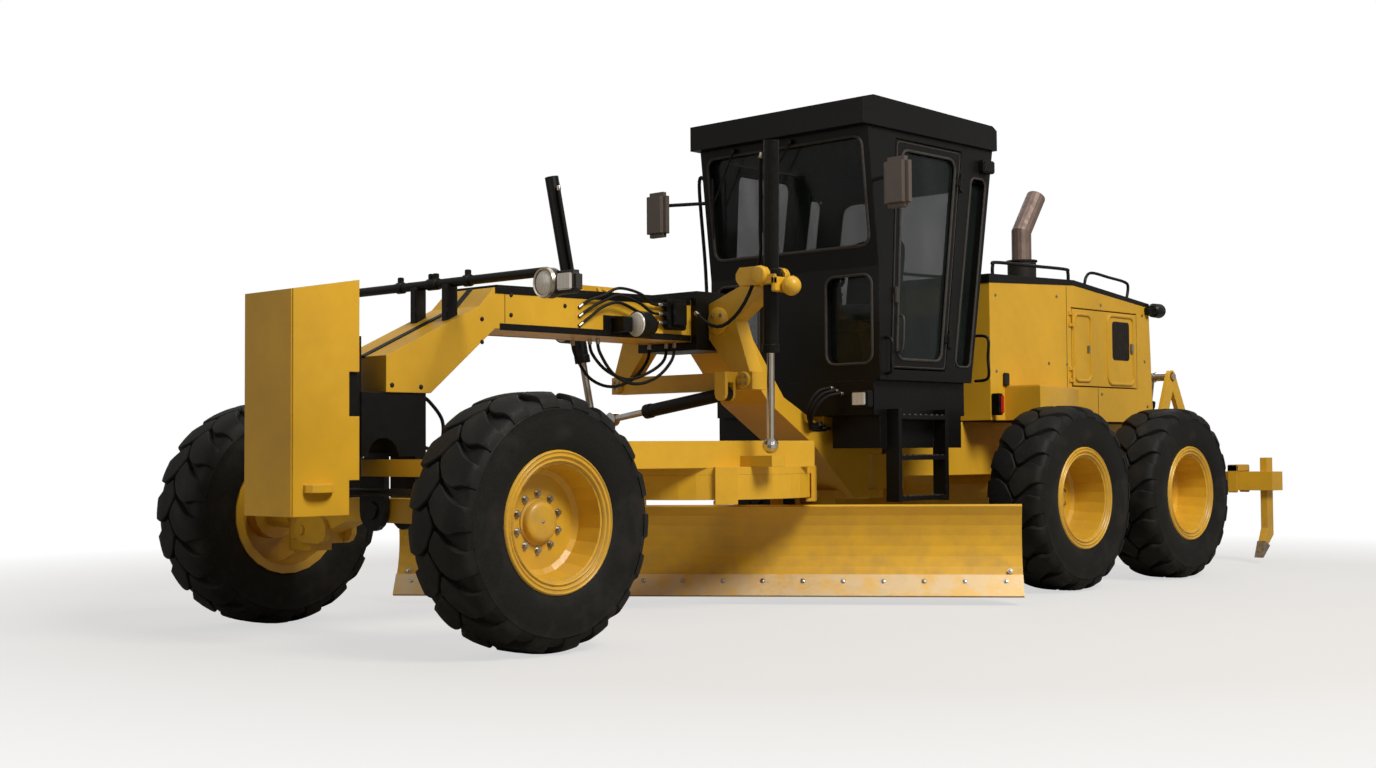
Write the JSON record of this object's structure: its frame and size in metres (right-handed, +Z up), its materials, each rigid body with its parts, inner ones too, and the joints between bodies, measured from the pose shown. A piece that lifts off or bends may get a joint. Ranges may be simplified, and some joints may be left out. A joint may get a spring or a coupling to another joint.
{
  "type": "motor grader",
  "caption": "Articulated motor grader with a long curved blade on a turning circle, leaning front wheels, tandem drive wheels, glazed cab, front push block and rear ripper.",
  "frame": {"origin": "middle of the bounding box's foot, on the ground", "axes": "+X the machine's left side, -Y forwards, +Z up"},
  "size_m": [3.3748, 9.368, 3.32],
  "materials": {
    "black_paint": "satin",
    "chrome": "polished",
    "engine_iron": "painted, dull",
    "exhaust": "heat-darkened, matt",
    "glass": "clear, tinted grey",
    "rubber": "matt",
    "seat_fabric": "woven, matt",
    "steel": "bright",
    "yellow_paint": "satin, worn at the working edges"
  },
  "bodies": {
    "blade_carrier": {"blade_carrier": "yellow_paint"},
    "root": {"cab_base": "black_paint", "cab_roof": "black_paint", "cab_shell": "black_paint", "console": "black_paint", "front_axle": "yellow_paint", "front_bolster": "black_paint", "front_frame": "yellow_paint", "front_glass": "glass", "lift_arms": "yellow_paint", "push_block": "yellow_paint", "rear_glass": "glass", "saddle": "black_paint", "seat": "seat_fabric"},
    "cab_door_left": {"cab_door_left": "black_paint", "door_glass_left": "glass"},
    "cab_door_right": {"cab_door_right": "black_paint", "door_glass_right": "glass"},
    "circle": {"circle": "yellow_paint"},
    "moldboard": {"cutting_edge": "yellow_paint", "moldboard": "yellow_paint"},
    "drawbar": {"drawbar": "yellow_paint"},
    "drawbar_ball": {"drawbar_ball": "steel"},
    "rear_frame": {"engine_block": "engine_iron", "engine_hood": "yellow_paint", "exhaust": "exhaust", "hood_mounts": "black_paint", "rear_frame": "yellow_paint", "tandem_drive": "yellow_paint"},
    "hood_door_left": {"hood_door_left": "yellow_paint"},
    "hood_door_right": {"hood_door_right": "yellow_paint"},
    "knuckle_left": {"knuckle_left": "yellow_paint"},
    "knuckle_right": {"knuckle_right": "yellow_paint"},
    "lean_bar": {"lean_bar": "yellow_paint"},
    "lean_left": {"lean_yoke_left": "yellow_paint"},
    "lean_right": {"lean_yoke_right": "yellow_paint"},
    "lift_barrel_left": {"lift_barrel_left": "black_paint"},
    "lift_barrel_right": {"lift_barrel_right": "black_paint"},
    "lift_rod_left": {"lift_rod_left": "chrome"},
    "lift_rod_right": {"lift_rod_right": "chrome"},
    "wheel_front_left": {"rim_front_left": "yellow_paint", "tyre_front_left": "rubber"},
    "wheel_front_right": {"rim_front_right": "yellow_paint", "tyre_front_right": "rubber"},
    "wheel_tandem_front_left": {"rim_tandem_front_left": "yellow_paint", "tyre_tandem_front_left": "rubber"},
    "wheel_tandem_front_right": {"rim_tandem_front_right": "yellow_paint", "tyre_tandem_front_right": "rubber"},
    "wheel_tandem_rear_left": {"rim_tandem_rear_left": "yellow_paint", "tyre_tandem_rear_left": "rubber"},
    "wheel_tandem_rear_right": {"rim_tandem_rear_right": "yellow_paint", "tyre_tandem_rear_right": "rubber"},
    "ripper": {"ripper": "yellow_paint"},
    "ripper_barrels": {"ripper_barrels": "black_paint"},
    "ripper_rods": {"ripper_rods": "chrome"},
    "shift_barrel": {"shift_barrel": "black_paint"},
    "shift_rod": {"shift_rod": "chrome"},
    "tie_rod": {"tie_rod": "black_paint"},
    "tie_end": {"tie_rod_end": "steel"}
  },
  "joints": [
    {"name": "lean_left", "type": "hinge", "parent": "root", "child": "lean_left", "pos_m": [0.73631, -3.916, 0.56], "axis": [0, 1, 0], "range_deg": [-18, 18]},
    {"name": "steer_left", "type": "hinge", "parent": "lean_left", "child": "knuckle_left", "pos_m": [0.91631, -3.916, 0.645], "axis": [0, 0, 1], "range_deg": [-47.5, 47.5]},
    {"name": "wheel_front_left_spin", "type": "hinge", "parent": "knuckle_left", "child": "wheel_front_left", "pos_m": [1.22331, -3.916, 0.645], "axis": [1, 0, 0], "continuous": true},
    {"name": "lean_right", "type": "hinge", "parent": "root", "child": "lean_right", "pos_m": [-0.62369, -3.916, 0.56], "axis": [0, 1, 0], "range_deg": [-18, 18]},
    {"name": "steer_right", "type": "hinge", "parent": "lean_right", "child": "knuckle_right", "pos_m": [-0.80369, -3.916, 0.645], "axis": [0, 0, 1], "range_deg": [-47.5, 47.5]},
    {"name": "wheel_front_right_spin", "type": "hinge", "parent": "knuckle_right", "child": "wheel_front_right", "pos_m": [-1.11069, -3.916, 0.645], "axis": [1, 0, 0], "continuous": true},
    {"name": "lean_bar_pin", "type": "hinge", "parent": "lean_left", "child": "lean_bar", "pos_m": [0.73631, -4.081, 0.91], "axis": [0, 1, 0], "range_deg": [-18, 18]},
    {"name": "tie_rod_turn", "type": "hinge", "parent": "knuckle_left", "child": "tie_end", "pos_m": [0.91631, -4.156, 0.784], "axis": [0, 0, 1], "range_deg": [-47.5, 47.5]},
    {"name": "tie_rod_tilt", "type": "hinge", "parent": "tie_end", "child": "tie_rod", "pos_m": [0.91631, -4.156, 0.784], "axis": [0, 1, 0], "range_deg": [-18, 18]},
    {"name": "drawbar_swing", "type": "hinge", "parent": "root", "child": "drawbar_ball", "pos_m": [0.05631, -3.616, 0.86], "axis": [0, 0, 1], "range_deg": [-8, 8]},
    {"name": "drawbar_lift", "type": "hinge", "parent": "drawbar_ball", "child": "drawbar", "pos_m": [0.05631, -3.616, 0.86], "axis": [1, 0, 0], "range_deg": [-12, 5.5]},
    {"name": "lift_cylinder_left_swing", "type": "hinge", "parent": "root", "child": "lift_barrel_left", "pos_m": [0.93779, -1.76472, 2.03528], "axis": [0, 1, 0], "range_deg": [-15, 15]},
    {"name": "lift_cylinder_left_rod", "type": "slide", "parent": "lift_barrel_left", "child": "lift_rod_left", "axis": [0.1132, -0.1154, 0.9868], "range_m": [-0.43, 0.2]},
    {"name": "lift_cylinder_right_swing", "type": "hinge", "parent": "root", "child": "lift_barrel_right", "pos_m": [-0.82517, -1.76472, 2.03528], "axis": [0, 1, 0], "range_deg": [-15, 15]},
    {"name": "lift_cylinder_right_rod", "type": "slide", "parent": "lift_barrel_right", "child": "lift_rod_right", "axis": [-0.1132, -0.1154, 0.9868], "range_m": [-0.43, 0.2]},
    {"name": "shift_cylinder_swing", "type": "hinge", "parent": "root", "child": "shift_barrel", "pos_m": [0.51631, -1.716, 1.34], "axis": [0, 1, 0], "range_deg": [-20.5, 10]},
    {"name": "shift_cylinder_rod", "type": "slide", "parent": "shift_barrel", "child": "shift_rod", "axis": [0.9903, 0, 0.1386], "range_m": [-0.26, 0.26]},
    {"name": "circle_turn", "type": "hinge", "parent": "drawbar", "child": "circle", "pos_m": [0.05631, -1.446, 0.842], "axis": [0, 0, 1], "continuous": true},
    {"name": "blade_tip", "type": "hinge", "parent": "circle", "child": "blade_carrier", "pos_m": [-0.16084, -1.15887, 0.26], "axis": [-0.7976, -0.6032, 0], "range_deg": [-40, 5]},
    {"name": "blade_slide", "type": "slide", "parent": "blade_carrier", "child": "moldboard", "axis": [-0.7976, -0.6032, 0], "range_m": [-0.5, 0.5]},
    {"name": "articulation", "type": "hinge", "parent": "root", "child": "rear_frame", "pos_m": [0.05631, 0.234, 1.02], "axis": [0, 0, 1], "range_deg": [-20, 20]},
    {"name": "wheel_tandem_front_left_spin", "type": "hinge", "parent": "rear_frame", "child": "wheel_tandem_front_left", "pos_m": [1.22331, 0.99, 0.645], "axis": [1, 0, 0], "continuous": true},
    {"name": "wheel_tandem_rear_left_spin", "type": "hinge", "parent": "rear_frame", "child": "wheel_tandem_rear_left", "pos_m": [1.22331, 2.515, 0.645], "axis": [1, 0, 0], "continuous": true},
    {"name": "cab_door_left_hinge", "type": "hinge", "parent": "root", "child": "cab_door_left", "pos_m": [0.81981, 0.214, 1.53], "axis": [0, 0.1455, 0.9894], "range_deg": [0, 80]},
    {"name": "hood_door_left_hinge", "type": "hinge", "parent": "rear_frame", "child": "hood_door_left", "pos_m": [0.61981, 2.199, 1.48], "axis": [0, 0, -1], "range_deg": [0, 90]},
    {"name": "wheel_tandem_front_right_spin", "type": "hinge", "parent": "rear_frame", "child": "wheel_tandem_front_right", "pos_m": [-1.11069, 0.99, 0.645], "axis": [1, 0, 0], "continuous": true},
    {"name": "wheel_tandem_rear_right_spin", "type": "hinge", "parent": "rear_frame", "child": "wheel_tandem_rear_right", "pos_m": [-1.11069, 2.515, 0.645], "axis": [1, 0, 0], "continuous": true},
    {"name": "cab_door_right_hinge", "type": "hinge", "parent": "root", "child": "cab_door_right", "pos_m": [-0.70719, 0.214, 1.53], "axis": [0, -0.1455, -0.9894], "range_deg": [0, 80]},
    {"name": "hood_door_right_hinge", "type": "hinge", "parent": "rear_frame", "child": "hood_door_right", "pos_m": [-0.50719, 2.199, 1.48], "axis": [0, 0, 1], "range_deg": [0, 90]},
    {"name": "ripper_lift", "type": "hinge", "parent": "rear_frame", "child": "ripper", "pos_m": [0.05631, 3.704, 0.9], "axis": [1, 0, 0], "range_deg": [-25, 12]},
    {"name": "ripper_cylinders_swing", "type": "hinge", "parent": "rear_frame", "child": "ripper_barrels", "pos_m": [0.05631, 3.784, 0.64], "axis": [1, 0, 0], "range_deg": [-20, 10]},
    {"name": "ripper_cylinders_rod", "type": "slide", "parent": "ripper_barrels", "child": "ripper_rods", "axis": [0, 0.233, 0.9725], "range_m": [-0.08, 0.04]}
  ],
  "couplings": [
    {"joint": "lean_right", "follows": "lean_left", "ratio": 1},
    {"joint": "steer_right", "follows": "steer_left", "ratio": 1},
    {"joint": "lean_bar_pin", "follows": "lean_left", "ratio": -1},
    {"joint": "tie_rod_turn", "follows": "steer_left", "ratio": -1},
    {"joint": "tie_rod_tilt", "follows": "lean_left", "ratio": -0.792},
    {"joint": "lift_cylinder_left_swing", "follows": "drawbar_swing", "ratio": 1.86},
    {"joint": "lift_cylinder_left_rod", "follows": "drawbar_lift", "m_per_rad": 2.02},
    {"joint": "lift_cylinder_right_swing", "follows": "drawbar_swing", "ratio": 1.86},
    {"joint": "lift_cylinder_right_rod", "follows": "drawbar_lift", "m_per_rad": 2.02},
    {"joint": "shift_cylinder_swing", "follows": "drawbar_lift", "ratio": 1.7},
    {"joint": "shift_cylinder_rod", "follows": "drawbar_swing", "m_per_rad": -1.84},
    {"joint": "ripper_cylinders_swing", "follows": "ripper_lift", "ratio": 0.77},
    {"joint": "ripper_cylinders_rod", "follows": "ripper_lift", "m_per_rad": 0.16}
  ]
}
